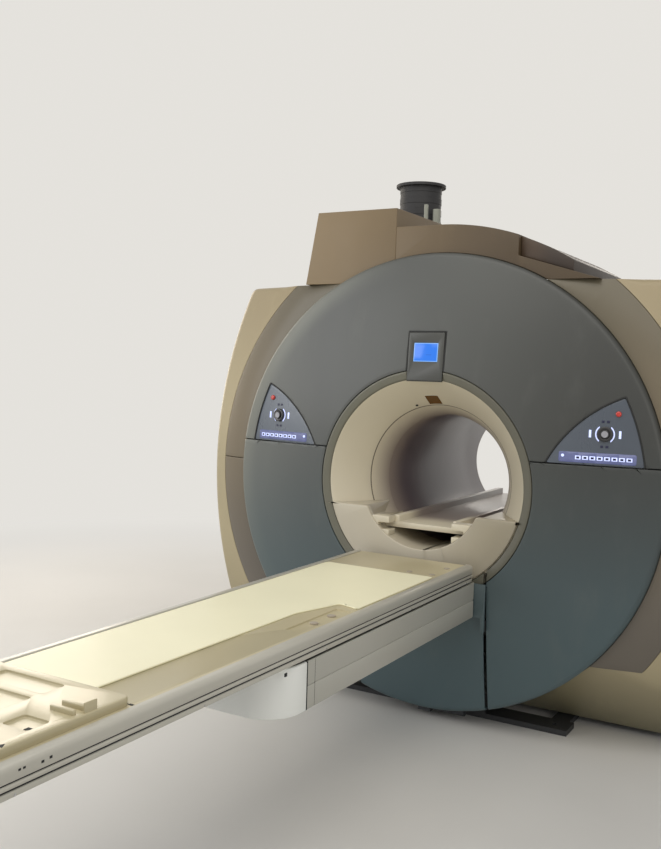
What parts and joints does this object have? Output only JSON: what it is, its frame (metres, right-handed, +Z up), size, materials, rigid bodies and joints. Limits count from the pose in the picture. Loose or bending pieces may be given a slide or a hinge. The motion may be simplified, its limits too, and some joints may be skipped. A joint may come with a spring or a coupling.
{
  "type": "mri scanner",
  "caption": "Whole-body magnetic resonance scanner with a round domed front, a flared bore and a patient table that rises on the housing and slides into the bore.",
  "frame": {"origin": "on the floor at the centre of the rectangle of anchor holes, straight below the middle of the bore", "axes": "+Y runs from the patient table into the bore, +X is right as seen from the table, +Z is up"},
  "size_m": [2.5198, 4.01, 2.49],
  "materials": {
    "cover_grey": "satin moulded cover",
    "cover_slate": "satin moulded cover, darker",
    "trim_taupe": "matt moulded ring",
    "funnel_white": "smooth moulding",
    "cover_cream": "satin moulded cover",
    "band_brown": "matt moulded band",
    "vent_brown": "dark grille",
    "pipe_black": "black insulated pipe",
    "service_steel": "bright metal",
    "display_shell": "satin housing",
    "display_blue": "lit display",
    "panel_grey": "translucent keypad sheet",
    "key_light": "lit keys",
    "knob_black": "ribbed knob",
    "stop_red": "red button",
    "laser_amber": "dark window",
    "frame_steel": "grey paint",
    "vessel_steel": "brushed stainless",
    "shield_aluminium": "bright sheet",
    "coil_copper": "copper windings",
    "rod_composite": "glass-fibre rod",
    "gradient_resin": "cast resin",
    "screw_steel": "ground steel",
    "motor_dark": "dark motor",
    "beam_grey": "light grey paint",
    "rail_white": "white moulded rail",
    "pulley_metal": "turned",
    "belt_rubber": "toothed belt",
    "board_cream": "composite board",
    "mat_cream": "coated foam mat",
    "socket_grey": "dark plug faces"
  },
  "bodies": {
    "housing": {"front_cover_upper": "cover_grey", "front_cover_lower_left": "cover_slate", "front_cover_lower_right": "cover_slate", "lift_cover_panel": "cover_slate", "trim_ring": "trim_taupe", "trim_ring_lower": "trim_taupe", "front_funnel": "funnel_white", "table_cradle": "funnel_white", "rear_funnel": "funnel_white", "bore_liner": "funnel_white", "bore_bridge": "funnel_white", "bridge_brackets": "funnel_white", "side_cover_left": "cover_cream", "side_cover_right": "cover_cream", "tower_cover": "cover_cream", "arch_cover": "cover_cream", "rear_cover": "cover_cream", "bevel_band_left": "band_brown", "bevel_band_right": "band_brown", "vent_box": "vent_brown", "quench_pipe": "pipe_black", "service_stubs": "service_steel", "cold_head": "service_steel", "display_housing": "display_shell", "display_screen": "display_blue", "control_panel_left": "panel_grey", "control_panel_right": "panel_grey", "panel_keys": "key_light", "laser_window": "laser_amber", "floor_frame": "frame_steel", "front_support_frame": "frame_steel", "lift_column": "frame_steel", "vacuum_vessel": "vessel_steel", "helium_vessel": "vessel_steel", "thermal_shield": "shield_aluminium", "magnet_coils": "coil_copper", "body_coil": "coil_copper", "suspension_rods": "rod_composite", "gradient_coil": "gradient_resin", "lift_motor": "motor_dark"},
    "table": {"lift_carriage": "frame_steel", "beam_root_plate": "cover_slate", "beam_frame": "frame_steel", "beam_side_covers": "beam_grey", "beam_bottom_cover": "beam_grey", "beam_end_cap": "beam_grey", "table_rails": "rail_white", "table_bed": "frame_steel", "drive_motor": "motor_dark", "drive_belt": "belt_rubber"},
    "tabletop": {"tabletop": "board_cream", "table_mat": "mat_cream", "coil_sockets": "socket_grey"},
    "lead_screw": {"lift_screw": "screw_steel"},
    "drive_wheel": {"drive_pulley": "pulley_metal"},
    "idler_wheel": {"idler_pulley": "pulley_metal"},
    "left_knob": {"jog_knob_left": "knob_black"},
    "right_knob": {"jog_knob_right": "knob_black"},
    "left_stop": {"stop_button_left": "stop_red"},
    "right_stop": {"stop_button_right": "stop_red"}
  },
  "joints": [
    {"name": "table_lift", "type": "slide", "parent": "housing", "child": "table", "axis": [0, 0, 1], "range_m": [-0.2, 0.19]},
    {"name": "lead_screw_turn", "type": "hinge", "parent": "housing", "child": "lead_screw", "pos_m": [0, -0.585, 0.34], "axis": [0, 0, 1], "range_deg": [-3610, 3430]},
    {"name": "tabletop_travel", "type": "slide", "parent": "table", "child": "tabletop", "axis": [0, 1, 0], "range_m": [0, 0.045]},
    {"name": "drive_wheel_turn", "type": "hinge", "parent": "table", "child": "drive_wheel", "pos_m": [0, -0.875, 0.697], "axis": [0, 0, 1], "range_deg": [-1, 66]},
    {"name": "idler_wheel_turn", "type": "hinge", "parent": "table", "child": "idler_wheel", "pos_m": [0, -3.175, 0.697], "axis": [0, 0, 1], "range_deg": [-1, 66]},
    {"name": "right_knob_turn", "type": "hinge", "parent": "housing", "child": "right_knob", "pos_m": [0.775, -0.68077, 1.325], "axis": [0.1605, -0.9855, 0.0549], "continuous": true},
    {"name": "left_knob_turn", "type": "hinge", "parent": "housing", "child": "left_knob", "pos_m": [-0.775, -0.68077, 1.325], "axis": [-0.1605, -0.9855, 0.0549], "continuous": true},
    {"name": "right_stop_press", "type": "slide", "parent": "housing", "child": "right_stop", "axis": [-0.1698, 0.9829, -0.0717], "range_m": [0, 0.004], "stiffness_N_per_m": 600, "springref_m": -0.002},
    {"name": "left_stop_press", "type": "slide", "parent": "housing", "child": "left_stop", "axis": [0.1698, 0.9829, -0.0717], "range_m": [0, 0.004], "stiffness_N_per_m": 600, "springref_m": -0.002}
  ],
  "couplings": [
    {"joint": "lead_screw_turn", "follows": "table_lift", "rad_per_m": 314.16},
    {"joint": "drive_wheel_turn", "follows": "tabletop_travel", "rad_per_m": 25},
    {"joint": "idler_wheel_turn", "follows": "tabletop_travel", "rad_per_m": 25}
  ]
}
